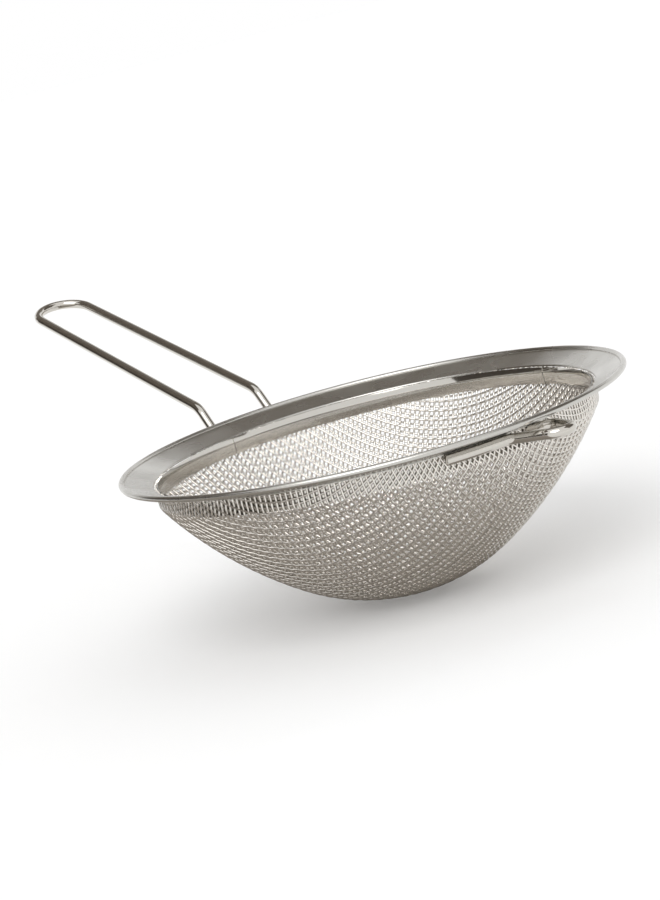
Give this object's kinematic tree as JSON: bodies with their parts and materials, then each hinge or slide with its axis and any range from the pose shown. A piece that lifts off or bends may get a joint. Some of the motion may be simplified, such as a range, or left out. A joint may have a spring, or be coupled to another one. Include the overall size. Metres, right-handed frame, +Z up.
{
  "type": "tea strainer",
  "caption": "Domed wire-mesh tea strainer with a wide sloping steel rim, a looped wire handle and a wire rest hook opposite it.",
  "frame": {"origin": "On the bowl's axis, in the plane where the hook and the handle legs sit on the rim of a cup.", "axes": "+Z up along the bowl's axis with the bowl's mouth facing +Z, -X along the handle, +Y to the right of the hook seen from the mouth with the handle behind."},
  "size_m": [0.1634, 0.09, 0.0549],
  "materials": {
    "rim_steel": "satin stainless sheet",
    "cloth_steel": "bright woven stainless wire",
    "wire_steel": "polished stainless wire"
  },
  "bodies": {
    "root": {"rim_flange": "rim_steel", "retaining_band": "rim_steel", "mesh_basket": "cloth_steel", "handle_wire": "wire_steel", "rest_hook": "wire_steel"}
  },
  "joints": []
}
